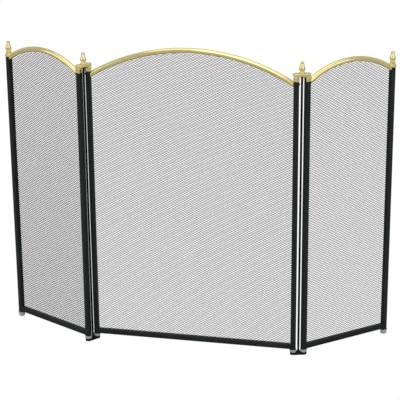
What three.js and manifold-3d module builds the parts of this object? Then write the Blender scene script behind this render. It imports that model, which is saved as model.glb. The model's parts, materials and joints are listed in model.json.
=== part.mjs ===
// A three-fold fireplace screen: a wide centre panel and two wings, each a frame of black square
// tube with a brass arch over a sheet of expanded-metal mesh. A wing hangs on the centre panel by
// a double-pivot link: a brass plate on top and a steel plate on the floor, tied by a thin rod,
// with one post turning on pins at each end of the plates, so that the wing folds flat against
// either face of the centre panel.
//
// Millimetres, +Z up, the front face looking along -Y, standing on z = 0.

import * as THREE from 'three';
import { mergeVertices } from 'three/addons/utils/BufferGeometryUtils.js';
import Module from 'manifold-3d';

const wasm = await Module();
wasm.setup();

// ---------------------------------------------------------------- driving dimensions

const CENTRE_WIDTH = 520;         // between the axes of the centre panel's posts
const WING_WIDTH = 249;           // between the axes of a wing's posts
const LINK_LENGTH = 27;           // between the two pivots of a link
const POST_BOTTOM = 14;           // underside of every post
const POST_TOP = 726;             // top of every post
const TUBE = 12.7;                // side of the square tube
const TUBE_WALL = 1;
const TUBE_CORNER = 1.8;          // outside corner radius of the square tube
const RAIL_BOTTOM = 15;           // underside of the bottom rails

const ARCH_RADIUS = 6.5;          // outside radius of the brass tube
const ARCH_WALL = 0.9;
const CENTRE_ARCH = { apex: 790, bend: 484, fixing: 719 };  // axis height, bend radius, screw height
const WING_ARCH = { apex: 762.5, bend: 205, fixing: 723 };
const ARCH_PLUG = 5;              // length of the solid plug in each end of an arch
const ARCH_DRILL = 7;             // depth of the screw hole in each end of an arch

const SHEET = 0.5;                // thickness of the mesh sheet
const SHEET_BACK = 3;             // how far the sheet sits behind the middle of the tubes

const FERRULE = 14.2;             // side of the square brass ferrule on a hinge post
const FERRULE_HEIGHT = 10.5;
const COLLAR = { radius: 5, height: 1.8 };   // on a ferrule, under the link's top plate
const CAP_RADIUS = 9.7;           // round brass cap on an outer post
const SPIGOT_RADIUS = 4.6;        // round spigots of ferrules, caps, plugs and bushes
const SPIGOT_LENGTH = 13;
const BUSH_SPIGOT_LENGTH = 9;
const FINIAL_HEIGHT = 29.5;
const FINIAL_BORE = 9;            // depth of the hole in a link's finial

const PLATE_TOP = 746;            // upper face of the top link plate
const TOP_PLATE = { radius: 8.8, thick: 7, edge: 1.2 };
const BOTTOM_PLATE = { radius: 8, thick: 6, edge: 0.6 };
const PIN_RADIUS = 2.5;
const PIN_REACH = 7;              // of a lower pin into its post
const PIN_CROWN = 2;              // brass left above an upper pin
const ROD_RADIUS = 2.8;
const ROD_REACH = 8;              // of the tie rod into the finial
const LIFT = 0.5;                 // from the floor up to the ends of rods and lower pins
const STUD = { radius: 2, length: 8 };       // under an outer post's finial
const FOOT_STUD = { radius: 2.5, reach: 10 };
const NUT = { radius: 4.2, height: 3.2 };    // a round nut
const BUSH_RADIUS = 9;
const FLANGE = { side: 14.8, thick: 2 };     // of the plug in the foot of an outer post
const FOOT_RADIUS = 8.5;
const SCREW = { radius: 1.75, head: 3.2, headHeight: 2 };

const GAP = 0.3;                  // left between pieces that touch
const BITE = 1;                   // how far two shapes run into each other to become one
const PAST = 5;                   // how far a cutting tool runs past what it cuts
const RUNNING = 0.25;             // radial clearance of a pin, screw or rod in its hole

// The pose it stands in, in degrees about +Z, seen from above.
const LEFT_LINK_TURN = 50;        // the left wing's hinge post is swung to the front
const LEFT_WING_TURN = -78;       // against the link, so the wing slants back by 28
const RIGHT_LINK_TURN = 16;
const RIGHT_WING_TURN = 25;       // against the link, so the wing slants back by 41

// ---------------------------------------------------------------- materials

const black = new THREE.MeshStandardMaterial({ color: 0x1d2121, roughness: 0.42, metalness: 0.1 });
const blackMesh = new THREE.MeshStandardMaterial({ color: 0x232426, roughness: 0.5, metalness: 0.2 });
const brass = new THREE.MeshStandardMaterial({ color: 0xd2b45c, roughness: 0.22, metalness: 1 });
const steel = new THREE.MeshStandardMaterial({ color: 0x9a9b9c, roughness: 0.35, metalness: 1 });
const darkSteel = new THREE.MeshStandardMaterial({ color: 0x26282a, roughness: 0.45, metalness: 0.6 });
const grey = new THREE.MeshStandardMaterial({ color: 0xa8a8a4, roughness: 0.6, metalness: 0 });

// ---------------------------------------------------------------- shapes

// A square with rounded corners, centred on the origin.
function roundedSquare(side, corner, path = new THREE.Shape()) {
  const h = side / 2;
  const c = h - corner;
  path.moveTo(c, -h).absarc(c, -c, corner, -Math.PI / 2, 0);
  path.absarc(c, c, corner, 0, Math.PI / 2);
  path.absarc(-c, c, corner, Math.PI / 2, Math.PI);
  path.absarc(-c, -c, corner, Math.PI, 1.5 * Math.PI);
  return path;
}

// A shape in the XY plane carried straight up from z0 to z1.
function upright(shape, z0, z1, curveSegments = 3) {
  const options = { depth: z1 - z0, bevelEnabled: false, curveSegments };
  return new THREE.ExtrudeGeometry(shape, options).translate(0, 0, z0);
}

function squareTube(z0, z1) {
  const section = roundedSquare(TUBE, TUBE_CORNER);
  section.holes.push(roundedSquare(TUBE - 2 * TUBE_WALL, 0.4, new THREE.Path()));
  return upright(section, z0, z1, 2);
}

// A round bar along Z.
function bar(radius, z0, z1, sides = 16) {
  return new THREE.CylinderGeometry(radius, radius, z1 - z0, sides)
    .rotateX(Math.PI / 2).translate(0, 0, (z0 + z1) / 2);
}

// A round bar along X, at height z.
function crossBar(radius, x0, x1, z, sides = 16) {
  return new THREE.CylinderGeometry(radius, radius, Math.abs(x1 - x0), sides)
    .rotateZ(Math.PI / 2).translate((x0 + x1) / 2, 0, z);
}

// A profile of [radius, height] pairs, from the bottom up, turned about Z.
function turned(profile, sides = 16) {
  const points = profile.map(([radius, height]) => new THREE.Vector2(radius, height));
  return new THREE.LatheGeometry(points, sides).rotateX(Math.PI / 2);
}

// An obround plate whose round ends are centred on the two pivots of a link.
function linkPlate(radius, z0, z1, edge, side) {
  const r = radius - edge;
  const shape = new THREE.Shape();
  shape.absarc(0, 0, r, Math.PI / 2, 1.5 * Math.PI);
  shape.absarc(LINK_LENGTH, 0, r, -Math.PI / 2, Math.PI / 2);
  const options = {
    depth: z1 - z0 - 2 * edge, curveSegments: 6,
    bevelEnabled: true, bevelThickness: edge, bevelSize: edge, bevelSegments: 1,
  };
  const plate = new THREE.ExtrudeGeometry(shape, options).translate(0, 0, z0 + edge);
  return side > 0 ? plate : plate.rotateZ(Math.PI);
}

// ---------------------------------------------------------------- cutting and joining

function toSolid(geometry) {
  const plain = geometry.clone();
  plain.deleteAttribute('normal');
  plain.deleteAttribute('uv');
  const merged = mergeVertices(plain, 1e-4);
  return new wasm.Manifold(new wasm.Mesh({
    numProp: 3,
    vertProperties: new Float32Array(merged.attributes.position.array),
    triVerts: new Uint32Array(merged.index.array),
  }));
}

// Joins every geometry in `parts` and takes every geometry in `cuts` away.
function shaped(parts, cuts = []) {
  let solid = toSolid(parts[0]);
  for (const part of parts.slice(1)) solid = solid.add(toSolid(part));
  for (const cut of cuts) solid = solid.subtract(toSolid(cut));
  const { vertProperties, triVerts } = solid.getMesh();
  const geometry = new THREE.BufferGeometry();
  geometry.setAttribute('position', new THREE.BufferAttribute(vertProperties, 3));
  geometry.setIndex(new THREE.BufferAttribute(triVerts, 1));
  return geometry;
}

function addPiece(parent, name, geometry, material, x = 0) {
  const mesh = new THREE.Mesh(geometry, material);
  mesh.name = name;
  mesh.position.x = x;
  parent.add(mesh);
}

// ---------------------------------------------------------------- pieces of a panel

// A post on the origin's axis, drilled across for the screw that holds the arch.
function post(fixing) {
  const drill = crossBar(SCREW.radius + RUNNING, -TUBE, TUBE, fixing);
  return shaped([squareTube(POST_BOTTOM, POST_TOP)], [drill]);
}

// A rail lying along X between the inner faces of two posts `width` apart.
function bottomRail(width) {
  const length = width - TUBE - 2 * GAP;
  return squareTube(-length / 2, length / 2).rotateY(Math.PI / 2)
    .translate(0, 0, RAIL_BOTTOM + TUBE / 2);
}

// Half the angle that an arch spans between the inner faces of its posts.
function halfAngle(width, arch) {
  return Math.asin((width / 2 - TUBE / 2) / arch.bend);
}

// The axis of an arch: a circular arc in the XZ plane, `spread` radians to each side of the top.
class ArchCurve extends THREE.Curve {
  constructor(arch, spread) {
    super();
    this.arch = arch;
    this.spread = spread;
  }

  getPoint(t, target = new THREE.Vector3()) {
    const angle = (2 * t - 1) * this.spread;
    const { apex, bend } = this.arch;
    return target.set(bend * Math.sin(angle), 0, apex - bend + bend * Math.cos(angle));
  }
}

function bentBar(radius, arch, spread, steps) {
  const section = new THREE.Shape().absarc(0, 0, radius, 0, 2 * Math.PI);
  const extrudePath = new ArchCurve(arch, spread);
  return new THREE.ExtrudeGeometry(section, { steps, curveSegments: 6, extrudePath });
}

// The brass arch: a bent tube, plugged at both ends and drilled for its two screws, and coped
// around the posts and around whatever stands on them.
function archTube(width, arch, leftTopRadius, rightTopRadius) {
  const half = halfAngle(width, arch);
  const overrun = TUBE / 2 / arch.bend;
  const plug = ARCH_PLUG / arch.bend;
  const cuts = [bentBar(ARCH_RADIUS - ARCH_WALL, arch, half - plug, 16)];
  for (const [side, topRadius] of [[-1, leftTopRadius], [1, rightTopRadius]]) {
    const x = side * width / 2;
    const clear = TUBE + 2 * GAP;
    cuts.push(new THREE.BoxGeometry(clear, 4 * TUBE, 8 * TUBE).translate(x, 0, POST_TOP - 4 * TUBE));
    cuts.push(bar(topRadius + GAP, POST_TOP - GAP, POST_TOP + 4 * TUBE, 24).translate(x, 0, 0));
    const inner = x - side * (TUBE / 2 + ARCH_DRILL);
    cuts.push(crossBar(SCREW.radius + RUNNING, inner, x, arch.fixing));
  }
  return shaped([bentBar(ARCH_RADIUS, arch, half + overrun, 18)], cuts);
}

// The mesh sheet: a plain plate with an arched top that fills the frame.
function meshSheet(width, arch) {
  const edge = width / 2 - TUBE / 2 - GAP;
  const bottom = RAIL_BOTTOM + TUBE + GAP;
  const reach = Math.sqrt(ARCH_RADIUS ** 2 - SHEET_BACK ** 2) + GAP;
  const bend = arch.bend - reach;
  const centre = arch.apex - arch.bend;
  const start = Math.acos(edge / bend);
  const outline = new THREE.Shape().moveTo(-edge, bottom);
  outline.lineTo(edge, bottom);
  outline.absarc(0, centre, bend, start, Math.PI - start);
  return upright(outline, 0, SHEET, 20).rotateX(Math.PI / 2)
    .translate(0, SHEET_BACK + SHEET / 2, 0);
}

// A screw along X whose head bears on a post's outer face; it runs towards -side.
function archScrew(side, fixing) {
  const seat = side * (TUBE / 2 + GAP);
  const tip = -side * (TUBE / 2 + ARCH_PLUG);
  const shank = crossBar(SCREW.radius, tip, seat + side * BITE, fixing, 12);
  const head = crossBar(SCREW.head, seat, seat + side * SCREW.headHeight, fixing);
  return shaped([shank, head]);
}

// ---------------------------------------------------------------- fittings on the posts

// A square ferrule with a collar on top, bored from above for the link's pin.
function ferrule(fixing) {
  const top = POST_TOP + FERRULE_HEIGHT;
  const block = upright(roundedSquare(FERRULE, 2), POST_TOP + GAP, top);
  const collar = bar(COLLAR.radius, top - BITE, top + COLLAR.height, 20);
  const spigot = bar(SPIGOT_RADIUS, POST_TOP - SPIGOT_LENGTH, POST_TOP + BITE);
  const bore = bar(PIN_RADIUS + RUNNING, POST_TOP + BITE, top + PAST);
  const drill = crossBar(SCREW.radius + RUNNING, -TUBE, TUBE, fixing);
  return shaped([block, collar, spigot], [bore, drill]);
}

// A round stepped cap for an outer post, tapped on top for the finial's stud.
function postCap(fixing) {
  const z = POST_TOP;
  const bore = STUD.radius + RUNNING;
  const body = turned([
    [0, z - SPIGOT_LENGTH], [SPIGOT_RADIUS, z - SPIGOT_LENGTH], [SPIGOT_RADIUS, z + GAP],
    [CAP_RADIUS - 0.6, z + GAP], [CAP_RADIUS, z + 1], [CAP_RADIUS, z + 4.6], [CAP_RADIUS - 0.8, z + 5.6],
    [7.9, z + 6.6], [7.2, z + 7.6], [7.2, z + 9.8], [6.4, z + FERRULE_HEIGHT], [bore, z + FERRULE_HEIGHT],
    [bore, z + BITE], [0, z + BITE],
  ]);
  return shaped([body], [crossBar(SCREW.radius + RUNNING, -TUBE, TUBE, fixing)]);
}

// A finial from its seat up: base ring, neck, tapering body and button. The base is bored for the
// tie rod, or carries a stud of its own.
function finial(seat, stud) {
  const bore = ROD_RADIUS + RUNNING;
  const base = stud
    ? [[0, -STUD.length], [STUD.radius, -STUD.length], [STUD.radius, 0.2]]
    : [[0, FINIAL_BORE], [bore, FINIAL_BORE], [bore, 0.2]];
  const outside = [
    [7.3, 0.2], [7.3, 2.2], [4.9, 4.2], [4.9, 5.2], [7.1, 8.5], [7.5, 11], [6.6, 16], [4.1, 24],
    [3.8, 25], [4.6, 26], [4.6, 27.8], [3, FINIAL_HEIGHT], [0, FINIAL_HEIGHT],
  ];
  return turned([...base, ...outside].map(([radius, height]) => [radius, seat + height]));
}

// A grey bush in the foot of a hinge post: a round collar that bears on the bottom plate, and a
// spigot in the tube, bored through for the pin.
function hingeBush() {
  const bore = PIN_RADIUS + RUNNING;
  const low = BOTTOM_PLATE.thick + GAP;
  const high = POST_BOTTOM - GAP;
  const top = POST_BOTTOM + BUSH_SPIGOT_LENGTH;
  return turned([
    [bore, low], [6.6, low], [8, low + 0.9], [BUSH_RADIUS - 0.2, low + 3], [BUSH_RADIUS, low + 5.5],
    [BUSH_RADIUS, high - 0.8], [BUSH_RADIUS - 0.6, high], [SPIGOT_RADIUS, high],
    [SPIGOT_RADIUS, top], [bore, top], [bore, low],
  ]);
}

// A black plug in the foot of an outer post, with a thin flange under the tube.
function endPlug() {
  const low = POST_BOTTOM - FLANGE.thick;
  const high = POST_BOTTOM + SPIGOT_LENGTH;
  const flange = upright(roundedSquare(FLANGE.side, 2), low, POST_BOTTOM - GAP);
  const spigot = bar(SPIGOT_RADIUS, low + BITE, high);
  const bore = bar(FOOT_STUD.radius + RUNNING, low - PAST, high + PAST);
  return shaped([flange, spigot], [bore]);
}

// A grey foot under an outer post, with a stud up into the plug.
function foot() {
  const high = POST_BOTTOM - FLANGE.thick - GAP;
  const top = POST_BOTTOM + FOOT_STUD.reach;
  const r = FOOT_RADIUS;
  return turned([
    [0, 0], [5.6, 0], [7.2, 1], [r - 0.3, 3.2], [r, 5.5], [r, high - 1.2], [r - 0.9, high],
    [FOOT_STUD.radius, high], [FOOT_STUD.radius, top], [0, top],
  ]);
}

// ---------------------------------------------------------------- the double-pivot link

// A plate bored right through for the tie rod, and up to `pinTop` for the pin at each end.
function boredPlate(radius, z0, z1, edge, side, pinTop) {
  const rodHole = bar(ROD_RADIUS + RUNNING, z0 - PAST, z1 + PAST);
  const cuts = [rodHole.translate(side * LINK_LENGTH / 2, 0, 0)];
  for (const x of [0, side * LINK_LENGTH]) {
    cuts.push(bar(PIN_RADIUS + RUNNING, z0 - PAST, pinTop).translate(x, 0, 0));
  }
  return shaped([linkPlate(radius, z0, z1, edge, side)], cuts);
}

function topPlate(side) {
  const { radius, thick, edge } = TOP_PLATE;
  return boredPlate(radius, PLATE_TOP - thick, PLATE_TOP, edge, side, PLATE_TOP - PIN_CROWN);
}

function bottomPlate(side) {
  const { radius, thick, edge } = BOTTOM_PLATE;
  return boredPlate(radius, 0, thick, edge, side, thick + PAST);
}

// A round nut on the tie rod, standing on z0.
function rodNut(z0) {
  const body = bar(NUT.radius, z0, z0 + NUT.height, 20);
  return shaped([body], [bar(ROD_RADIUS + RUNNING, z0 - PAST, z0 + NUT.height + PAST)]);
}

function addLink(link, name, side) {
  const middle = side * LINK_LENGTH / 2;
  const plateUnder = PLATE_TOP - TOP_PLATE.thick;
  addPiece(link, `${name}_top_plate`, topPlate(side), brass);
  addPiece(link, `${name}_bottom_plate`, bottomPlate(side), darkSteel);
  addPiece(link, `${name}_tie_rod`, bar(ROD_RADIUS, LIFT, PLATE_TOP + ROD_REACH, 14), darkSteel, middle);
  addPiece(link, `${name}_rod_lower_nut`, rodNut(BOTTOM_PLATE.thick + GAP), darkSteel, middle);
  addPiece(link, `${name}_rod_upper_nut`, rodNut(plateUnder - GAP - NUT.height), darkSteel, middle);
  addPiece(link, `${name}_finial`, finial(PLATE_TOP, false), brass, middle);
  for (const [whose, x] of [['centre', 0], ['wing', side * LINK_LENGTH]]) {
    const upper = bar(PIN_RADIUS, POST_TOP + BITE + GAP, PLATE_TOP - PIN_CROWN - GAP);
    const lower = bar(PIN_RADIUS, LIFT, POST_BOTTOM + PIN_REACH);
    addPiece(link, `${name}_upper_${whose}_pin`, upper, steel, x);
    addPiece(link, `${name}_lower_${whose}_pin`, lower, steel, x);
  }
}

// ---------------------------------------------------------------- panels

function addCentrePanel(panel) {
  const half = CENTRE_WIDTH / 2;
  const corner = FERRULE / Math.SQRT2;
  for (const [hand, side] of [['left', -1], ['right', 1]]) {
    addPiece(panel, `centre_${hand}_post`, post(CENTRE_ARCH.fixing), black, side * half);
    addPiece(panel, `centre_${hand}_ferrule`, ferrule(CENTRE_ARCH.fixing), brass, side * half);
    addPiece(panel, `centre_${hand}_bush`, hingeBush(), grey, side * half);
    const screw = archScrew(side, CENTRE_ARCH.fixing);
    addPiece(panel, `centre_${hand}_arch_screw`, screw, darkSteel, side * half);
  }
  addPiece(panel, 'centre_bottom_rail', bottomRail(CENTRE_WIDTH), black);
  addPiece(panel, 'centre_arch', archTube(CENTRE_WIDTH, CENTRE_ARCH, corner, corner), brass);
  addPiece(panel, 'centre_mesh', meshSheet(CENTRE_WIDTH, CENTRE_ARCH), blackMesh);
}

// A wing is built with its hinge post on the origin's axis, and runs towards side * X.
function addWing(wing, hand, side) {
  const middle = side * WING_WIDTH / 2;
  const outer = side * WING_WIDTH;
  const { fixing } = WING_ARCH;
  const corner = FERRULE / Math.SQRT2;
  const tops = side > 0 ? [corner, CAP_RADIUS] : [CAP_RADIUS, corner];
  addPiece(wing, `${hand}_hinge_post`, post(fixing), black);
  addPiece(wing, `${hand}_hinge_ferrule`, ferrule(fixing), brass);
  addPiece(wing, `${hand}_hinge_bush`, hingeBush(), grey);
  addPiece(wing, `${hand}_hinge_arch_screw`, archScrew(-side, fixing), darkSteel);
  addPiece(wing, `${hand}_outer_post`, post(fixing), black, outer);
  addPiece(wing, `${hand}_outer_cap`, postCap(fixing), brass, outer);
  addPiece(wing, `${hand}_outer_finial`, finial(POST_TOP + FERRULE_HEIGHT, true), brass, outer);
  addPiece(wing, `${hand}_outer_arch_screw`, archScrew(side, fixing), darkSteel, outer);
  addPiece(wing, `${hand}_outer_plug`, endPlug(), black, outer);
  addPiece(wing, `${hand}_outer_foot`, foot(), grey, outer);
  addPiece(wing, `${hand}_bottom_rail`, bottomRail(WING_WIDTH), black, middle);
  addPiece(wing, `${hand}_arch`, archTube(WING_WIDTH, WING_ARCH, ...tops), brass, middle);
  addPiece(wing, `${hand}_mesh`, meshSheet(WING_WIDTH, WING_ARCH), blackMesh, middle);
}

// ---------------------------------------------------------------- assembly

const centre = new THREE.Group();
addCentrePanel(centre);

const wings = [
  ['left', -1, LEFT_LINK_TURN, LEFT_WING_TURN],
  ['right', 1, RIGHT_LINK_TURN, RIGHT_WING_TURN],
];
for (const [hand, side, linkTurn, wingTurn] of wings) {
  const link = new THREE.Group();
  link.position.x = side * CENTRE_WIDTH / 2;
  link.rotation.z = THREE.MathUtils.degToRad(linkTurn);
  addLink(link, `${hand}_link`, side);
  centre.add(link);

  const wing = new THREE.Group();
  wing.position.x = side * LINK_LENGTH;
  wing.rotation.z = THREE.MathUtils.degToRad(wingTurn);
  addWing(wing, `${hand}_wing`, side);
  link.add(wing);
}

// The origin is on the floor, under the middle of the standing screen's box.
const middle = new THREE.Box3().setFromObject(centre, true).getCenter(new THREE.Vector3());
centre.position.set(-middle.x, -middle.y, 0);

const group = new THREE.Group();
group.add(centre);

export default group;
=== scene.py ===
# %% [markdown]
# # A three-fold fireplace screen
#
# The screen is three frames of black square tube. Each frame has a brass arch on top and a sheet of
# black expanded metal inside. The two wings hang on the wide centre panel by short double-pivot
# links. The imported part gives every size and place. This script builds finer pieces around it, and
# gives each surface a finish.

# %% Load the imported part
import json
from collections import namedtuple
from math import cos, pi, radians, sin, sqrt

import bpy
import numpy as np
from mathutils import Matrix, Vector


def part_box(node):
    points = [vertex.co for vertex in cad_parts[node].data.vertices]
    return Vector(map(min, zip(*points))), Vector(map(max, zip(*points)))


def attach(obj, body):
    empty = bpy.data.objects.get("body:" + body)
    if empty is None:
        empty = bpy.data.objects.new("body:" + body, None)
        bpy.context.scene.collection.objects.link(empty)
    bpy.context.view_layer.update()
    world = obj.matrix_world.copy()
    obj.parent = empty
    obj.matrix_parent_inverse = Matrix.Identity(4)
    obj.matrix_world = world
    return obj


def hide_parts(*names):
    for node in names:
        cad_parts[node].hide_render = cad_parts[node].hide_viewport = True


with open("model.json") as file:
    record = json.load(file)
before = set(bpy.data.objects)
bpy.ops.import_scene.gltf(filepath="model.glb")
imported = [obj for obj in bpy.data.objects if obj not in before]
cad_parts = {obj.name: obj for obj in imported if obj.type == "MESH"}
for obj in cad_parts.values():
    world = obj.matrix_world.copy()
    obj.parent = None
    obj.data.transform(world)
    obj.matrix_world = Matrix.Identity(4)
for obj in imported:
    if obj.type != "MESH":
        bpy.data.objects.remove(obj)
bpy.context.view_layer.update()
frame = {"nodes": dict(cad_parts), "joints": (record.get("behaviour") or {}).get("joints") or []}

MM = 0.001

# %% [markdown]
# ## Frames of reference
#
# Every piece is drawn about its own panel or link, and then carried into the room. A frame here is a
# middle point and two level directions: `along`, from left to right, and `back`, away from the
# viewer. The alternative is to place each piece by hand in the room, but a frame lets one drawing of
# a post serve for all six posts, whichever way their panels are turned.

# %% Work out a frame for each panel and each link
Place = namedtuple("Place", "middle along back half")


def centre_of(node):
    """The middle of a CAD node's box, as a point on the floor plan."""
    low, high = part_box(node)
    return np.array([(low.x + high.x) / 2, (low.y + high.y) / 2])


def place_between(left, right):
    """The frame halfway between two points of the plan, `half` being half their distance."""
    span = right - left
    half = np.hypot(*span) / 2
    along = span / (2 * half)
    return Place((left + right) / 2, along, np.array([-along[1], along[0]]), half)


def put(points, place, x=0.0):
    """Moves points drawn about a frame into the room: middle + x * along + y * back + z * up."""
    across, depth, height = np.asarray(points, float).T
    plan = place.middle + np.outer(across + x, place.along) + np.outer(depth, place.back)
    return np.column_stack([plan, height])


pivots = {joint["name"]: np.array(joint["pos_m"][:2]) for joint in frame["joints"]}
panels = {
    "centre": place_between(centre_of("centre_left_post"), centre_of("centre_right_post")),
    "left_wing": place_between(centre_of("left_wing_outer_post"), centre_of("left_wing_hinge_post")),
    "right_wing": place_between(centre_of("right_wing_hinge_post"), centre_of("right_wing_outer_post")),
}
links = {
    "left_link": place_between(pivots["left_wing_fold"], pivots["left_link_swing"]),
    "right_link": place_between(pivots["right_link_swing"], pivots["right_wing_fold"]),
}
body_of = {"centre": "centre_panel", "left_wing": "left_wing", "right_wing": "right_wing"}
for name, place in {**panels, **links}.items():
    print(name, "width", round(2 * place.half / MM, 1), "mm")

# %% [markdown]
# ## Shapes as arrays
#
# A shape is an array of corners and a list of faces. Nearly every piece of this screen is a skin: a
# row of closed outlines, joined by four-sided faces and closed by a lid at each end. A modelling
# tool could extrude or spin each of them by hand. Worked out as one array, the outlines can instead
# follow a formula.

# %% The skin over a row of outlines
Shape = namedtuple("Shape", "points faces")


def skin(rings, closed=False):
    """Joins outline i to outline i + 1 by four-sided faces. rings is (outlines, corners, 3), each
    outline running anticlockwise as seen from the far end. Lids close both ends, unless the row
    of outlines is itself a closed loop."""
    rows, cols = rings.shape[:2]
    i, j = np.meshgrid(np.arange(rows if closed else rows - 1), np.arange(cols), indexing="ij")
    over, across = (i + 1) % rows, (j + 1) % cols
    quads = np.stack([i * cols + j, i * cols + across, over * cols + across, over * cols + j], -1)
    faces = quads.reshape(-1, 4).tolist()
    if not closed:
        faces.append(list(range(cols))[::-1])
        faces.append(list(range((rows - 1) * cols, rows * cols)))
    return Shape(rings.reshape(-1, 3), faces)


def together(*shapes):
    """Several shapes as one, with the corners of each numbered after those before it."""
    faces, count = [], 0
    for shape in shapes:
        faces += [[corner + count for corner in face] for face in shape.faces]
        count += len(shape.points)
    return Shape(np.vstack([shape.points for shape in shapes]), faces)


def moved(shape, y=0.0, z=0.0):
    """The same shape, shifted back by y and up by z."""
    return Shape(shape.points + np.array([0.0, y, z]), shape.faces)


def polar(radius, angle, height):
    """Outlines about the upright axis: x = radius * cos(angle), y = radius * sin(angle)."""
    return np.stack([radius * np.cos(angle), radius * np.sin(angle), height + 0 * angle], -1)


print("a skin over 2 outlines of 4 corners has", len(skin(np.zeros((2, 4, 3))).faces), "faces")

# %% [markdown]
# ## Pieces
#
# A part is easier to reuse when every piece sits at the origin, unturned and unscaled, with its place
# in its mesh. Moving and turning the objects would look the same, but the patterns of the finishes
# would then slide over them. The piece also rides on its body, and hides the imported nodes that it
# stands for.

# %% A finished piece: an object at the origin with its place in its mesh
made = []


def piece(name, shape, place, body, finish, replaces=(), x=0.0, crease=32):
    """Puts a shape in the room as a mesh. Edges sharper than `crease` degrees stay crisp."""
    mesh = bpy.data.meshes.new(name)
    mesh.from_pydata(put(shape.points, place, x).tolist(), [], shape.faces)
    mesh.update()
    mesh.shade_smooth()
    mesh.set_sharp_from_angle(angle=radians(crease))
    mesh.materials.append(finish)
    obj = bpy.data.objects.new(name, mesh)
    bpy.context.scene.collection.objects.link(obj)
    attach(obj, body)
    if replaces:
        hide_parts(*replaces)
    made.append(obj)


# %% [markdown]
# ## Profiles
#
# A turned piece is drawn as a turner would mark it: step by step up the work, each step straight,
# swelling (a bead) or hollow (a cove). A spline through points is the other way, but it rounds the
# crisp corners between one moulding and the next.

# %% Turned shapes
def moulding(steps, per_step=8):
    """Each step is (radius, height, bulge) in mm. Between two steps the line is straight plus a
    parabola at right angles to it, `bulge` mm high: above 0 swells outwards, below 0 is hollow."""
    line = [np.array(steps[0][:2], float)]
    for radius, height, bulge in steps[1:]:
        start, end = line[-1], np.array([radius, height], float)
        way = end - start
        side = np.array([way[1], -way[0]]) / np.hypot(*way)
        t = np.linspace(0, 1, (per_step if bulge else 1) + 1)[1:, None]
        line.extend(start + way * t + side * 4 * bulge * t * (1 - t))
    return np.array(line) * MM


def turned(profile, sides=48):
    """Turns a profile of (radius, height) about the upright axis, so that a point of the surface
    depends on the step along the profile and on the angle."""
    angle = np.linspace(0, 2 * pi, sides, endpoint=False)
    return skin(polar(profile[:, 0, None], angle, profile[:, 1, None]))


print("a bead is drawn with", len(moulding([(5, 0, 0), (5, 2, 0.4)])), "points")

# %% [markdown]
# ## Bars with eased edges
#
# No edge of a real bar is quite sharp: it is drawn, sawn and deburred, and the small round catches
# the light. A Bevel modifier could round every edge alike. Here the long corners and the ends of a
# bar have a radius of their own, so both are worked into its outlines.

# %% Square shapes
def rounded_square(side, corner, per_corner=6):
    """The outline of a square with rounded corners: four quarter circles, anticlockwise."""
    angle = np.linspace(0, pi / 2, per_corner)
    quarter = np.concatenate([angle + k * pi / 2 for k in range(4)])
    sign = np.repeat([[1, 1], [-1, 1], [-1, -1], [1, -1]], per_corner, axis=0)
    arc = np.column_stack([np.cos(quarter), np.sin(quarter)])
    return sign * (side / 2 - corner) + corner * arc


def eased(low, high, edge, per_edge):
    """Heights from low to high, and how far the outline is drawn in at each, for ends eased by a
    quarter round of `edge`. At a depth d below an end that is edge - sqrt(edge^2 - (edge - d)^2)."""
    turn = np.linspace(0, pi / 2, per_edge) if edge else np.zeros(1)
    inset, lift = edge * (1 - np.sin(turn)), edge * (1 - np.cos(turn))
    heights = np.concatenate([low + lift, (high - lift)[::-1]])
    return heights, np.concatenate([inset, inset[::-1]])


def square_bar(side, corner, low, high, edge=0.0, per_edge=4, sharpest=0.1 * MM):
    """A square bar along z with eased ends. Its corners get tighter as the outline is drawn in,
    down to a radius of `sharpest`."""
    rings = []
    for height, inset in zip(*eased(low, high, edge, per_edge)):
        outline = rounded_square(side - 2 * inset, max(corner - inset, sharpest))
        rings.append(np.column_stack([outline, np.full(len(outline), height)]))
    return skin(np.array(rings))


def lying(shape):
    """Lays an upright shape down along x: x, y, z become z, y, -x."""
    x, y, z = shape.points.T
    return Shape(np.column_stack([z, y, -x]), shape.faces)


print("a rounded square has", len(rounded_square(1.0, 0.1)), "corners")

# %% [markdown]
# ## Node groups
#
# The finishes share a few effects: the fine grain of a coating, the patches that hands leave, and
# dust. The same nodes could be laid out again in every material, but a change would then have to be
# made in each. Each effect is a node group instead: it takes a place on the surface and a few
# numbers, and gives back a mask, a value or a height. The Principled shader stays in the material,
# so that every finish can set its own gloss.

# %% Helpers for node trees
def feed(tree, socket, value):
    """Gives an input socket its value: a link from another socket, or a constant."""
    if isinstance(value, bpy.types.NodeSocket):
        tree.links.new(value, socket)
    else:
        socket.default_value = value


def node(tree, kind, **values):
    """Adds a node. A keyword is an input socket by name, with _ for a space, or else a property."""
    made_node = tree.nodes.new(kind)
    for key, value in values.items():
        socket = made_node.inputs.get(key.replace("_", " "))
        if socket is None:
            setattr(made_node, key, value)
        else:
            feed(tree, socket, value)
    return made_node


def calculate(tree, operation, a, b):
    """A Math node of two values, each a number or a socket."""
    made_node = tree.nodes.new("ShaderNodeMath")
    made_node.operation = operation
    feed(tree, made_node.inputs[0], a)
    feed(tree, made_node.inputs[1], b)
    return made_node.outputs[0]


def new_group(name, inputs, outputs):
    """An empty shader node group. Its inputs are floats, or vectors where the default is None, and
    its outputs are floats. Returns the tree, a dict of the input sockets by name, and the node that
    collects the outputs."""
    tree = bpy.data.node_groups.new(name, "ShaderNodeTree")
    for label, default in inputs.items():
        kind = "NodeSocketVector" if default is None else "NodeSocketFloat"
        socket = tree.interface.new_socket(name=label, in_out="INPUT", socket_type=kind)
        if default is not None:
            socket.default_value = default
    for label in outputs:
        tree.interface.new_socket(name=label, in_out="OUTPUT", socket_type="NodeSocketFloat")
    entry = tree.nodes.new("NodeGroupInput")
    exit_node = tree.nodes.new("NodeGroupOutput")
    return tree, {socket.name: socket for socket in entry.outputs}, exit_node


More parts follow.
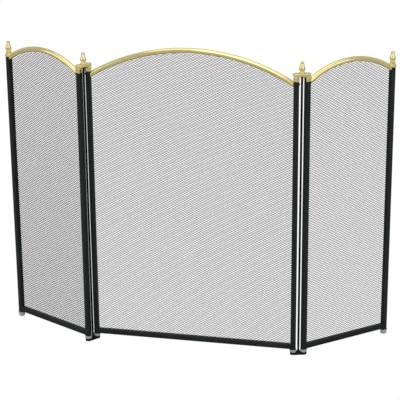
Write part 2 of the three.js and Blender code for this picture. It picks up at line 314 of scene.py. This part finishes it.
# %% Grain: the fine orange-peel of a coating or the texture of a mould
MM_PER_METRE = 1000.0
grain_group, into, out = new_group("grain", {"Place": None, "Size": 1.0, "Depth": 1.0}, ["Height"])
per_metre = calculate(grain_group, "DIVIDE", MM_PER_METRE, into["Size"])
fine = node(grain_group, "ShaderNodeTexNoise", Vector=into["Place"], Scale=per_metre, Detail=3.0)
height = calculate(grain_group, "MULTIPLY", fine.outputs["Fac"], into["Depth"])
grain_group.links.new(height, out.inputs["Height"])

# %% Handling: soft patches left by hands and polishing cloths
handling_group, into, out = new_group(
    "handling", {"Place": None, "Size": 60.0, "Low": 0.3, "High": 0.5}, ["Mask", "Value"])
per_metre = calculate(handling_group, "DIVIDE", MM_PER_METRE, into["Size"])
patches = node(handling_group, "ShaderNodeTexNoise", Vector=into["Place"], Scale=per_metre,
               Detail=5.0, Roughness=0.6, Distortion=0.4)
mask = node(handling_group, "ShaderNodeMapRange", Value=patches.outputs["Fac"], From_Min=0.35,
            From_Max=0.65).outputs["Result"]
value = node(handling_group, "ShaderNodeMapRange", Value=mask, To_Min=into["Low"],
             To_Max=into["High"]).outputs["Result"]
handling_group.links.new(mask, out.inputs["Mask"])
handling_group.links.new(value, out.inputs["Value"])

# %% Dust: a thin film on upward faces, thicker near the floor
dust_group, into, out = new_group(
    "dust", {"Place": None, "Amount": 0.3, "Reach": 0.25}, ["Mask"])
facing = node(dust_group, "ShaderNodeSeparateXYZ",
              Vector=dust_group.nodes.new("ShaderNodeNewGeometry").outputs["Normal"]).outputs["Z"]
level = node(dust_group, "ShaderNodeSeparateXYZ", Vector=into["Place"]).outputs["Z"]
near = node(dust_group, "ShaderNodeMapRange", Value=level, From_Min=0.0, From_Max=into["Reach"],
            To_Min=1.0, To_Max=0.25).outputs["Result"]
speckle = node(dust_group, "ShaderNodeTexNoise", Vector=into["Place"], Scale=240.0,
               Detail=6.0).outputs["Fac"]
upward = node(dust_group, "ShaderNodeMapRange", Value=facing, From_Min=0.2,
              From_Max=1.0).outputs["Result"]
film = calculate(dust_group, "MULTIPLY", upward, near)
film = calculate(dust_group, "MULTIPLY", film, speckle)
film = calculate(dust_group, "MULTIPLY", film, into["Amount"])
dust_group.links.new(film, out.inputs["Mask"])
print("node groups", [group.name for group in bpy.data.node_groups])

# %% [markdown]
# ## Finishes
#
# Each finish has the name of its material slot in the record. The coating on the steel is a thin
# baked enamel: nearly black, a little green, with an orange-peel surface. The brass is polished and
# lacquered, so it stays bright, but its colour drifts where the lacquer is thicker. The steel of the
# pins is bare, the bushes and feet are moulded. Pictures wrapped round the pieces could show all
# this, but they have seams, and blur close up. A pattern worked out from the place on the piece has
# neither fault.

# %% Helpers for finishes
def mix(tree, factor, a, b):
    """A colour between a and b, each an (r, g, b) or a socket."""
    made_node = tree.nodes.new("ShaderNodeMix")
    made_node.data_type = "RGBA"
    colours = [socket for socket in made_node.inputs if socket.type == "RGBA"]
    tree.links.new(factor, made_node.inputs["Factor"])
    for socket, value in zip(colours, (a, b)):
        feed(tree, socket, value if isinstance(value, bpy.types.NodeSocket) else (*value, 1.0))
    return next(socket for socket in made_node.outputs if socket.type == "RGBA")


def use(tree, group, **values):
    """Places a node group in a material."""
    made_node = tree.nodes.new("ShaderNodeGroup")
    made_node.node_tree = group
    for key, value in values.items():
        feed(tree, made_node.inputs[key], value)
    return made_node


# %% One function makes every finish
DUST_COLOUR = (0.55, 0.53, 0.5)


def finish(name, colour, worn, rough, patch, grain, dust, **constants):
    """A finish that drifts between two colours and two roughnesses in patches `patch` mm across,
    with a grain of (size in mm, depth in mm), and a film of dust on top. The other keywords are
    constants on the Principled shader."""
    material = bpy.data.materials.new(name + "_finish")
    material.use_nodes = True
    tree = material.node_tree
    shader = tree.nodes["Principled BSDF"]
    where = tree.nodes.new("ShaderNodeTexCoord").outputs["Object"]
    hands = use(tree, handling_group, Place=where, Size=patch, Low=rough[0], High=rough[1])
    film = use(tree, dust_group, Place=where, Amount=dust).outputs["Mask"]
    base = mix(tree, hands.outputs["Mask"], colour, worn)
    tree.links.new(mix(tree, film, base, DUST_COLOUR), shader.inputs["Base Color"])
    tree.links.new(hands.outputs["Value"], shader.inputs["Roughness"])
    texture = use(tree, grain_group, Place=where, Size=grain[0], Depth=grain[1])
    bump = node(tree, "ShaderNodeBump", Height=texture.outputs["Height"], Distance=MM)
    tree.links.new(bump.outputs["Normal"], shader.inputs["Normal"])
    for key, value in constants.items():
        shader.inputs[key.replace("_", " ")].default_value = value
    return material


# %% The seven finishes
black_frame = finish(
    "black_frame", colour=(0.014, 0.018, 0.017), worn=(0.020, 0.025, 0.024), rough=(0.36, 0.48),
    patch=70, grain=(1.4, 0.05), dust=0.05, Specular_IOR_Level=0.1)
black_mesh = finish(
    "black_mesh", colour=(0.022, 0.015, 0.019), worn=(0.030, 0.021, 0.026), rough=(0.40, 0.55),
    patch=90, grain=(0.8, 0.04), dust=0.05, Specular_IOR_Level=0.15)
polished_brass = finish(
    "polished_brass", colour=(0.90, 0.77, 0.36), worn=(0.84, 0.69, 0.28), rough=(0.08, 0.18),
    patch=45, grain=(2.2, 0.012), dust=0.05, Metallic=1.0)
black_steel = finish(
    "black_steel", colour=(0.004, 0.004, 0.005), worn=(0.008, 0.008, 0.008), rough=(0.40, 0.55),
    patch=30, grain=(1.0, 0.05), dust=0.05, Specular_IOR_Level=0.08)
pin_steel = finish(
    "pin_steel", colour=(0.56, 0.56, 0.55), worn=(0.42, 0.41, 0.40), rough=(0.22, 0.38),
    patch=12, grain=(0.5, 0.02), dust=0.1, Metallic=1.0)
grey_plastic = finish(
    "grey_plastic", colour=(0.50, 0.50, 0.48), worn=(0.42, 0.42, 0.40), rough=(0.45, 0.60),
    patch=15, grain=(0.6, 0.04), dust=0.1)
black_plastic = finish(
    "black_plastic", colour=(0.012, 0.012, 0.012), worn=(0.02, 0.02, 0.02), rough=(0.40, 0.55),
    patch=15, grain=(0.6, 0.04), dust=0.3)
print("finishes", [material.name for material in bpy.data.materials])

# %% [markdown]
# ## Frames: posts, rails and weld beads
#
# The frames are half-inch square steel tube. The corner of such a tube is rounded, and that corner is
# what catches the light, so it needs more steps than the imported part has. The rail is welded between
# the posts, and a weld shows as a rippled bead around the joint. A torus could stand for the bead,
# but a torus is round and the joint is square, so the bead follows the outline of the tube.

# %% Sizes of the frames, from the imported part
post_low, post_high = (corner.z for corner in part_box("centre_left_post"))
rail_low, rail_high = (corner.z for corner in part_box("centre_bottom_rail"))
TUBE = rail_high - rail_low
CORNER = 1.8 * MM          # radius of the tube's corners
GAP = 0.3 * MM             # left between two pieces that meet
DEBURRED = 0.3 * MM        # the round on a sawn edge
print("tube", round(TUBE / MM, 2), "posts", round(post_low / MM, 1), "to", round(post_high / MM, 1))


def clear_half(place):
    """Half of a panel's clear width, between its posts."""
    return place.half - TUBE / 2 - GAP


# %% Weld bead: a rippled ring that follows the square outline of the rail
def weld_bead(side, corner, radius, ripples=44, swell=0.14, around=8, per_corner=12):
    """A ring of round section along a rounded square in the yz plane. Its section's radius is
    radius * (1 + swell * sin(ripples * u)), where u runs once round the square."""
    outline = rounded_square(side, corner, per_corner)
    step = np.roll(outline, -1, 0) - np.roll(outline, 1, 0)
    outward = np.column_stack([step[:, 1], -step[:, 0]]) / np.hypot(*step.T)[:, None]
    u = np.linspace(0, 2 * pi, len(outline), endpoint=False)
    size = radius * (1 + swell * np.sin(ripples * u))[:, None]
    v = np.linspace(0, 2 * pi, around, endpoint=False)
    level = outline[:, None, :] + outward[:, None, :] * (size * np.cos(v))[..., None]
    rings = np.concatenate([(-size * np.sin(v))[..., None], level], -1)
    return skin(rings, closed=True)


rail_middle = (rail_low + rail_high) / 2
post = square_bar(TUBE, CORNER, post_low, post_high, edge=DEBURRED)
bead = moved(weld_bead(side=TUBE - 0.6 * MM, corner=CORNER, radius=0.9 * MM), z=rail_middle)
sides = {"centre": ("left", "right"), "left_wing": ("outer", "hinge"), "right_wing": ("hinge", "outer")}
for panel, place in panels.items():
    body = body_of[panel]
    for sign, hand in zip((-1, 1), sides[panel]):
        name = f"{panel}_{hand}_post"
        piece(f"{name}_tube", post, place, body, black_frame, [name], x=sign * place.half)
        piece(f"{panel}_{hand}_rail_weld", bead, place, body, black_frame, x=sign * clear_half(place))
    length = clear_half(place)
    rail = moved(lying(square_bar(TUBE, CORNER, -length, length)), z=rail_middle)
    piece(f"{panel}_rail_tube", rail, place, body, black_frame, [f"{panel}_bottom_rail"])
print("frames", len(made), "pieces")

# %% [markdown]
# ## Brass arches
#
# Each arch is a bent tube that runs from the inner face of one post to the inner face of the other.
# A curve with a round bevel would give the bend, but its ends would be cut square to the tube. Here
# every line along the tube is stretched until it ends on the upright face of the post.

# %% Arches whose ends lie flat on the posts
BEND = {"centre": 484 * MM, "left_wing": 205 * MM, "right_wing": 205 * MM}
ARCH_TUBE = 6.5 * MM       # radius of the tube itself


def arch_axis(panel):
    """The height of the arch's centre of bend, from the top of its box."""
    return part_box(f"{panel}_arch")[1].z - ARCH_TUBE - BEND[panel]


def arch_tube(bend, centre, reach, steps=120, around=32):
    """Part of a ring. The line at angle v round the tube has a bend of R = bend + r * cos(v) about
    the centre, so it meets the post's face at s = asin(reach / R) to each side of the top."""
    v = np.linspace(0, 2 * pi, around, endpoint=False)
    bend_here = bend + ARCH_TUBE * np.cos(v)
    spread = np.arcsin(reach / bend_here)
    s = np.linspace(-1, 1, steps)[:, None] * spread
    x = bend_here * np.sin(s)
    z = centre + bend_here * np.cos(s)
    y = -ARCH_TUBE * np.sin(v) + 0 * s
    return skin(np.stack([x, y, z], -1))


for panel, place in panels.items():
    arch = arch_tube(BEND[panel], arch_axis(panel), clear_half(place))
    piece(f"{panel}_arch_tube", arch, place, body_of[panel], polished_brass, [f"{panel}_arch"])
    print(panel, "arch top", round(arch.points[:, 2].max() / MM, 1), "mm")

# %% [markdown]
# ## Expanded metal
#
# Expanded metal is one sheet, slit and pulled open into staggered diamonds. It could be an image of
# holes on a flat sheet, but then it would have no depth. It is made here as zigzag strands that meet
# at their bends, the way the opened slits leave it. A strand is a flat strip that leans, as strands
# do when the slits open, and a sheet turned over leans the other way: the left wing's sheet is the
# one that shows its broad strands to the front. All strands of a sheet are worked out in one go.

# %% The strands of one sheet
LONG_WAY = 10.0 * MM       # from one diamond to the next, across
SHORT_WAY = 6.25 * MM      # from one diamond to the next, up
STRAND = 1.3 * MM          # width of a strand's face
GAUGE = 0.6 * MM           # thickness of the sheet
SHEET_BACK = 3 * MM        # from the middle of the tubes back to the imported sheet
PACKED_GAUGE = 0.5 * MM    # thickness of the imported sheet, which has no openings
LEAN = {"centre": radians(-38), "left_wing": radians(38), "right_wing": radians(-38)}


def expanded_metal(half, low, centre, bend, lean):
    """Strand k zigzags between level k and level k + 1, half a diamond apart. At x its middle is
    level + STRAND / 2 + fold * (half diamond - STRAND), where fold is a triangle wave from 0 to 1
    with a period of LONG_WAY, turned over in every other strand. Each strand stops at the frame, or
    at the arch of radius `bend` about `centre`."""
    rise = SHORT_WAY / 2
    k = np.arange(int((centre + bend - low) / rise))[:, None]
    above = np.clip(low + (k + 1) * rise - centre, 0, bend)
    limit = np.minimum(half, np.sqrt(bend**2 - above**2))
    count = int(half / (LONG_WAY / 2)) + 1
    x = np.clip(np.arange(-count, count + 1) * LONG_WAY / 2, -limit, limit)
    fold = np.abs((x / (LONG_WAY / 2) + k) % 2 - 1)
    middle = low + k * rise + STRAND / 2 + fold * (rise - STRAND)
    face = np.array([sin(lean), cos(lean)]) * STRAND / 2
    depth = np.array([cos(lean), -sin(lean)]) * GAUGE / 2
    section = np.array([-face - depth, -face + depth, face + depth, face - depth])
    rings = np.stack([
        np.broadcast_to(x[..., None], x.shape + (4,)),
        np.broadcast_to(section[:, 0], x.shape + (4,)),
        middle[..., None] + section[:, 1],
    ], -1)
    return strips(rings)


def strips(rings, shortest=0.001 * MM):
    """The skin over many strands at once, as (strand, step, corner, 3). Steps of no length are
    left out, and each strand is closed where its first and last real steps end."""
    strands, steps, cols = rings.shape[:3]
    corner = np.arange(strands * steps * cols).reshape(strands, steps, cols)
    real = np.diff(rings[:, :, 0, 0], axis=1) > shortest
    a, b = corner[:, :-1][real], corner[:, 1:][real]
    quads = np.stack([a, np.roll(a, -1, 1), np.roll(b, -1, 1), b], -1).reshape(-1, 4)
    kept = real.any(1)
    first, last = real.argmax(1)[kept], steps - 1 - real[:, ::-1].argmax(1)[kept]
    rows = np.flatnonzero(kept)
    lids = np.vstack([corner[rows, first][:, ::-1], corner[rows, last]])
    faces = np.vstack([quads, lids])
    used, faces = np.unique(faces, return_inverse=True)
    return Shape(rings.reshape(-1, 3)[used], faces.reshape(-1, 4).tolist())


middle = SHEET_BACK + PACKED_GAUGE / 2
under_arch = sqrt(ARCH_TUBE**2 - SHEET_BACK**2) + GAP
for panel, place in panels.items():
    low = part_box(f"{panel}_mesh")[0].z
    bend = BEND[panel] - under_arch
    sheet = expanded_metal(clear_half(place), low, arch_axis(panel), bend, LEAN[panel])
    piece(f"{panel}_expanded_metal", moved(sheet, y=middle), place, body_of[panel], black_mesh,
          [f"{panel}_mesh"], crease=20)
    top = sheet.points[:, 2].max()
    print(panel, "expanded metal", len(sheet.faces), "faces, top", round(top / MM, 1), "mm")

# %% [markdown]
# ## Brass fittings on the posts
#
# The hinge posts end in a square ferrule with a round collar. The outer posts end in a round stepped
# cap with a finial on it, and each link has a finial over its middle. All of them are turned or
# milled from bar, so their profiles are crisp. A Screw modifier could turn the same line, but then
# its points would be moved by hand: a list of steps is easier to set against a measurement.

# %% Ferrules, caps and finials
def finial(seat):
    """From the seat up: base ring, cove, neck, swelling body, waist and button."""
    steps = [
        (6.6, 0.2, 0), (7.3, 0.7, 0.15), (7.4, 1.6, 0.1), (6.9, 2.2, 0.15), (5.0, 3.9, -0.45),
        (4.9, 4.6, 0), (5.6, 5.0, 0.1), (5.6, 5.6, 0.1), (5.2, 6.0, 0), (7.5, 11.2, 0.75),
        (6.4, 16.4, 0.3), (4.0, 24.2, 0.1), (3.7, 24.9, -0.1), (4.6, 26.4, 0.35), (4.3, 28.0, 0.2),
        (2.6, 29.2, 0.25), (0.4, 29.5, 0.05),
    ]
    return moved(turned(moulding(steps)), z=seat)


def post_cap(seat):
    """A flat-sided disc with a rounded shoulder, and a smaller step on top of it."""
    steps = [
        (9.0, 0.3, 0), (9.6, 1.0, 0.15), (9.6, 4.6, 0), (8.9, 5.6, 0.25), (8.2, 5.9, 0),
        (7.3, 7.2, -0.35), (7.2, 9.4, 0), (6.4, 10.5, 0.3), (2.4, 10.5, 0),
    ]
    return moved(turned(moulding(steps), sides=64), z=seat)


def ferrule(seat):
    """A square block with eased edges, and the collar that the link turns on."""
    block = square_bar(side=14.2 * MM, corner=2 * MM, low=GAP, high=10.5 * MM, edge=0.8 * MM)
    collar = turned(moulding([(5.0, 10.0, 0), (5.0, 12.0, 0), (4.7, 12.3, 0.1), (2.8, 12.3, 0)]))
    return moved(together(block, collar), z=seat)


for panel, place in panels.items():
    body = body_of[panel]
    for sign, hand in zip((-1, 1), sides[panel]):
        name, x = f"{panel}_{hand}", sign * place.half
        if hand == "outer":
            piece(f"{name}_turned_cap", post_cap(post_high), place, body, polished_brass,
                  [f"{name}_cap"], x=x)
            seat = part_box(f"{name}_cap")[1].z
            piece(f"{name}_turned_finial", finial(seat), place, body, polished_brass,
                  [f"{name}_finial"], x=x)
        else:
            piece(f"{name}_brass_ferrule", ferrule(post_high), place, body, polished_brass,
                  [f"{name}_ferrule"], x=x)
print("brass fittings: pieces so far", len(made))

# %% [markdown]
# ## Link plates
#
# A link is a thick brass plate on top and a black steel plate on the floor. Both have round ends
# about the two pivots, so that a post can swing round them with nothing in its way. A beveled box
# comes close, but two half circles joined by straight sides are exact, and they keep their centres
# on the pivots whatever the radius.

# %% Link plates, with their round ends about the pivots
def link_plate(half, radius, low, high, edge, per_end=24, per_edge=6):
    """A slot-shaped plate: two half circles of `radius` about points `half` to each side, joined by
    straight sides, with eased edges at the top and the bottom."""
    angle = np.linspace(-pi / 2, pi / 2, per_end)
    angle = np.concatenate([angle, angle + pi])
    heights, insets = eased(low, high, edge, per_edge)
    rings = polar(radius - insets[:, None], angle, heights[:, None])
    rings[..., 0] += np.repeat([half, -half], per_end)
    return skin(rings)


for link, place in links.items():
    low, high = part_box(f"{link}_top_plate")
    plate = link_plate(place.half, radius=8.8 * MM, low=low.z, high=high.z, edge=1.6 * MM)
    piece(f"{link}_brass_plate", plate, place, link, polished_brass, [f"{link}_top_plate"])
    piece(f"{link}_turned_finial", finial(high.z), place, link, polished_brass, [f"{link}_finial"])
    low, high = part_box(f"{link}_bottom_plate")
    plate = link_plate(place.half, radius=8 * MM, low=low.z, high=high.z, edge=0.7 * MM)
    piece(f"{link}_steel_plate", plate, place, link, black_steel, [f"{link}_bottom_plate"])
print("link plates: pieces so far", len(made))

# %% [markdown]
# ## Tie rods and nuts
#
# A thin rod ties the two plates of a link together, with a round nut at each plate. The rod's ends
# are threaded. A thread is a ridge that climbs by one pitch in each turn, so its radius depends on
# the height less the angle: a wave in that one number makes the whole helix. A Screw modifier also
# winds a thread, but it leaves the ends of the ridge open.

# %% Threaded rod
def tie_rod(low, high, radius, pitch, thread, depth=0.3 * MM, per_pitch=6, around=16):
    """radius(angle, z) = radius - depth * wave, where wave is a triangle wave of
    z / pitch - angle / (2 pi). The wave stops one pitch short of the plain middle of the rod, which
    needs no more than a dozen outlines."""
    step = pitch / per_pitch
    lower = np.arange(low, low + thread, step)
    plain = np.linspace(low + thread, high - thread, 12)
    upper = np.arange(high - thread + step, high, step)
    z = np.concatenate([lower, plain, upper])
    angle = np.linspace(0, 2 * pi, around, endpoint=False)
    wave = np.abs(2 * ((z[:, None] / pitch - angle / (2 * pi)) % 1) - 1)
    threaded = np.minimum(z - low, high - z) < thread - pitch
    return skin(polar(radius - depth * wave * threaded[:, None], angle, z[:, None]))


# %% Round nuts
def knurled_nut(low, high, radius, edge=0.5 * MM, ridges=20, groove=0.03, per_ridge=6, per_edge=4):
    """A round nut with straight grooves for the fingers: its radius is
    radius * (1 - groove * (1 + cos(ridges * angle))), with eased edges at both ends."""
    angle = np.linspace(0, 2 * pi, ridges * per_ridge, endpoint=False)
    grooved = radius * (1 - groove * (1 + np.cos(ridges * angle)))
    heights, insets = eased(low, high, edge, per_edge)
    return skin(polar(grooved - insets[:, None], angle, heights[:, None]))


for link, place in links.items():
    low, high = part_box(f"{link}_tie_rod")
    rod = tie_rod(low.z, high.z, radius=2.8 * MM, pitch=1.0 * MM, thread=22 * MM)
    piece(f"{link}_threaded_rod", rod, place, link, black_steel, [f"{link}_tie_rod"])
    for level in ("lower", "upper"):
        low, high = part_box(f"{link}_rod_{level}_nut")
        nut = knurled_nut(low.z, high.z, radius=4.2 * MM)
        piece(f"{link}_{level}_round_nut", nut, place, link, black_steel, [f"{link}_rod_{level}_nut"])
print("rods and nuts: pieces so far", len(made))

# %% [markdown]
# ## Bushes, feet and plugs
#
# The hinge posts stand on grey moulded bushes that turn on the bottom plate's pins. The outer posts
# stand on grey feet, under the thin flange of a black plug. Cylinders could stand for them, but a
# moulding has a full rim, a slight taper and a parting line, and a profile draws all three at once.

# %% Moulded parts
def bush(low):
    """A round collar with a full lower rim, a parting line at its widest, and a spigot on top."""
    steps = [
        (2.8, 0.3, 0), (6.4, 0.3, 0), (8.1, 1.3, 0.35), (8.9, 3.6, 0.2), (9.0, 4.4, 0), (8.8, 4.6, 0),
        (9.0, 4.8, 0), (9.0, 6.7, 0), (8.4, 7.4, 0.2), (4.7, 7.4, 0), (4.6, 16, 0), (2.8, 16, 0),
    ]
    return moved(turned(moulding(steps)), z=low)


def foot(low):
    """A round foot with a full lower rim and a parting line, resting on the floor."""
    steps = [
        (4.0, 0.0, 0), (5.6, 0.1, 0), (7.4, 1.1, 0.3), (8.3, 3.4, 0.2), (8.5, 5.6, 0), (8.3, 5.8, 0),
        (8.5, 6.0, 0), (8.5, 10.5, 0), (7.7, 11.7, 0.25), (2.5, 11.7, 0),
    ]
    return moved(turned(moulding(steps)), z=low)


plate_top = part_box("left_link_bottom_plate")[1].z
flange = square_bar(side=14.8 * MM, corner=2 * MM, low=post_low - 2 * MM, high=post_low - GAP,
                    edge=0.5 * MM)
for panel, place in panels.items():
    body = body_of[panel]
    for sign, hand in zip((-1, 1), sides[panel]):
        name, x = f"{panel}_{hand}", sign * place.half
        if hand == "outer":
            piece(f"{name}_moulded_foot", foot(0.0), place, body, grey_plastic, [f"{name}_foot"], x=x)
            piece(f"{name}_plug_flange", flange, place, body, black_plastic, [f"{name}_plug"], x=x)
        else:
            piece(f"{name}_moulded_bush", bush(plate_top), place, body, grey_plastic,
                  [f"{name}_bush"], x=x)
print("moulded parts: pieces so far", len(made))

# %% [markdown]
# ## Screws
#
# A screw through each post holds the end of the arch. Its round head has a cross recess: a height
# over the disc of the head that drops wherever the point lies in one of two crossed slots. Cutting
# the recess out with a Boolean modifier would work too, but it leaves long thin faces that shade
# badly on so small a dome.

# %% Screw heads with a cross recess
SLOT_LENGTH, SLOT_WIDTH = 0.55, 0.14    # half of each, for a head of radius 1
SLOT_WALL = 0.08                        # how far the slot's wall leans over
SLOT_DEPTH = 0.45                       # for a head of height 1


def screw_head(radius, height, shank, length, rings=14, around=48):
    """Over the head, at a distance r from its middle, it is height * sqrt(1 - 0.75 * r^2) high, less
    the recess, which deepens with the distance into the nearer arm of the cross. Drawn along z,
    head upwards."""
    angle = np.linspace(0, 2 * pi, around, endpoint=False)
    r = np.linspace(1, 0.02, rings)[:, None]
    x, y = np.abs(r * np.cos(angle)), np.abs(r * np.sin(angle))
    across = np.maximum(x - SLOT_LENGTH, y - SLOT_WIDTH)
    upright = np.maximum(y - SLOT_LENGTH, x - SLOT_WIDTH)
    recess = np.clip(-np.minimum(across, upright) / SLOT_WALL, 0, 1)
    dome = height * (np.sqrt(1 - 0.75 * r**2) - SLOT_DEPTH * recess)
    under = polar(np.array([[shank], [shank], [radius]]), angle, np.array([[-length], [0], [0]]))
    return skin(np.concatenate([under, polar(radius * r, angle, dome)]))


screw = screw_head(radius=3.2 * MM, height=2 * MM, shank=1.75 * MM, length=10 * MM)
for panel, place in panels.items():
    for sign, hand in zip((-1, 1), sides[panel]):
        name = f"{panel}_{hand}_arch_screw"
        low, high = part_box(name)
        outwards = Shape(screw.points[:, [2, 0, 1]] * [sign, sign, 1], screw.faces)
        piece(f"{panel}_{hand}_cross_screw", moved(outwards, z=(low.z + high.z) / 2), place,
              body_of[panel], black_steel, [name], x=sign * (place.half + TUBE / 2 + GAP))
print("screws: pieces in all", len(made))

# %% [markdown]
# ## Pins
#
# The pins of the links are plain steel cylinders, nearly hidden in the ferrules and bushes. They
# could be drawn again, but nothing would change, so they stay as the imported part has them: only
# their shine is added.

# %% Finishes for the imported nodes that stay
for obj in frame["nodes"].values():
    for index, packed in enumerate(obj.data.materials):
        obj.data.materials[index] = bpy.data.materials[packed.name + "_finish"]
print("packed nodes that show", sorted(name for name in frame["nodes"] if name.endswith("_pin")))

# %% [markdown]
# ## Floor, light and camera
#
# The screen stands in a white studio, whose backdrop and floor are bright enough to lose every
# shadow. What the brass and the coating reflect is another matter: a lit floor, darker walls, and
# four square softboxes, whose width is what draws the long highlights on the brass. One set of
# lights could do both only by being so strong that the brass turned white, so the backdrop has one
# brightness for the camera and another for reflections.

# %% White for the camera, and another brightness for everything that is reflected
def shown_to_camera(tree, reflected, surface, white):
    """Sends `white`, at a strength of 1, to camera rays, and the `reflected` shader to the rest."""
    white.inputs["Color"].default_value = (1.0, 1.0, 1.0, 1.0)
    white.inputs["Strength"].default_value = 1.0
    seen = tree.nodes.new("ShaderNodeLightPath")
    choice = tree.nodes.new("ShaderNodeMixShader")
    tree.links.new(seen.outputs["Is Camera Ray"], choice.inputs[0])
    tree.links.new(reflected, choice.inputs[1])
    tree.links.new(white.outputs[0], choice.inputs[2])
    tree.links.new(choice.outputs[0], surface)


# %% A pale floor
FLOOR_RADIUS = 30.0
FLOOR_DROP = 0.2 * MM      # keeps it clear of the feet's lowest faces
floor_mesh = bpy.data.meshes.new("floor")
angle = np.linspace(0, 2 * pi, 96, endpoint=False)
rim = polar(FLOOR_RADIUS, angle, -FLOOR_DROP)
floor_mesh.from_pydata(rim.tolist(), [], [list(range(len(rim)))])
floor = bpy.data.objects.new("floor", floor_mesh)
bpy.context.scene.collection.objects.link(floor)
paper = bpy.data.materials.new("white_floor")
paper.use_nodes = True
tree = paper.node_tree
matt = tree.nodes["Principled BSDF"]
matt.inputs["Base Color"].default_value = (0.6, 0.6, 0.6, 1)
matt.inputs["Roughness"].default_value = 0.9
matt.inputs["Specular IOR Level"].default_value = 0.0
shown_to_camera(tree, matt.outputs[0], tree.nodes["Material Output"].inputs["Surface"],
                tree.nodes.new("ShaderNodeEmission"))
floor_mesh.materials.append(paper)
print("floor", 2 * FLOOR_RADIUS, "m across")

# %% Soft studio light
world = bpy.data.worlds.new("studio")
bpy.context.scene.world = world
world.use_nodes = True
tree = world.node_tree
ambient = tree.nodes["Background"]
ambient.inputs["Color"].default_value = (0.93, 0.97, 1.0, 1)
ambient.inputs["Strength"].default_value = 0.6
shown_to_camera(tree, ambient.outputs[0], tree.nodes["World Output"].inputs["Surface"],
                tree.nodes.new("ShaderNodeBackground"))


def softbox(name, size, radiance, stand, aim=(0, 0, 0.4)):
    """A square light `size` metres wide that looks as bright as `radiance`, turned towards `aim`:
    power = radiance * pi * area."""
    light = bpy.data.lights.new(name, "AREA")
    light.size = size
    light.energy = radiance * pi * size**2
    obj = bpy.data.objects.new(name, light)
    obj.location = stand
    obj.rotation_euler = (Vector(stand) - Vector(aim)).to_track_quat("Z", "Y").to_euler()
    bpy.context.scene.collection.objects.link(obj)


softbox("overhead_softbox", 4.0, 0.8, (0.0, -0.5, 4.0))
softbox("front_softbox", 2.4, 1.3, (0.4, -3.6, 3.2))
softbox("left_softbox", 2.4, 0.9, (-3.2, -2.2, 1.6))
softbox("right_softbox", 2.4, 0.9, (3.4, -2.0, 1.6))
bpy.context.scene.view_settings.view_transform = "Standard"
print("lights", [light.name for light in bpy.data.lights])

# %% Camera
camera_data = bpy.data.cameras.new("camera")
camera_data.lens = 145
camera_data.clip_end = 200
camera = bpy.data.objects.new("camera", camera_data)
bpy.context.scene.collection.objects.link(camera)
yaw, pitch, roll = radians(-12.17), radians(20.52), radians(-0.52)
look = Vector((sin(yaw) * cos(pitch), cos(yaw) * cos(pitch), -sin(pitch)))
level_right = Vector((cos(yaw), -sin(yaw), 0))
level_up = level_right.cross(look)
right = level_right * cos(roll) + level_up * sin(roll)
up = right.cross(look)
stand = Vector((*(panels["centre"].middle + (0.8171, -3.6972)), 1.8204))
camera.matrix_world = Matrix((right, up, -look)).transposed().to_4x4()
camera.location = stand
bpy.context.scene.camera = camera
print("camera", camera_data.lens, "mm lens at", [round(value, 3) for value in stand])
